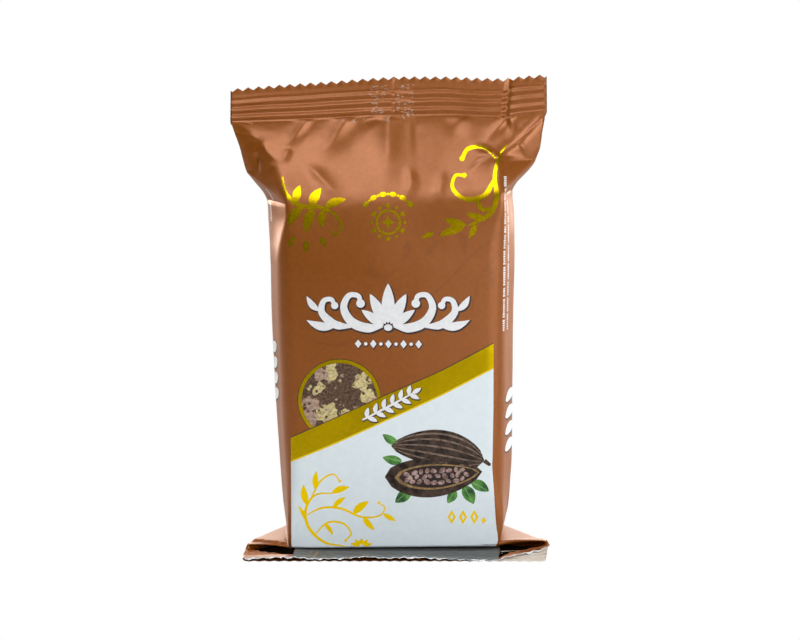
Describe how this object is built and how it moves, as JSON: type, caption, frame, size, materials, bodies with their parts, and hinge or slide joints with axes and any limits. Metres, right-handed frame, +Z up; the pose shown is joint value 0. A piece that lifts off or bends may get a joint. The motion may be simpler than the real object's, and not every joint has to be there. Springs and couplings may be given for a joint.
{
  "type": "wrapped halva bar",
  "caption": "Block of sunflower halva shut in a printed brown film pack, crimped and zigzag cut at both ends, standing on its folded bottom seal.",
  "frame": {"origin": "middle of the base of the bounding box, on the surface the pack stands on", "axes": "the printed front and the folded bottom seal face -Y, +X is to the right seen from the front, +Z is up along the pack's length"},
  "size_m": [0.0912, 0.041, 0.1381],
  "materials": {
    "film": "satin printed film"
  },
  "bodies": {
    "root": {"pack": "film"}
  },
  "joints": []
}
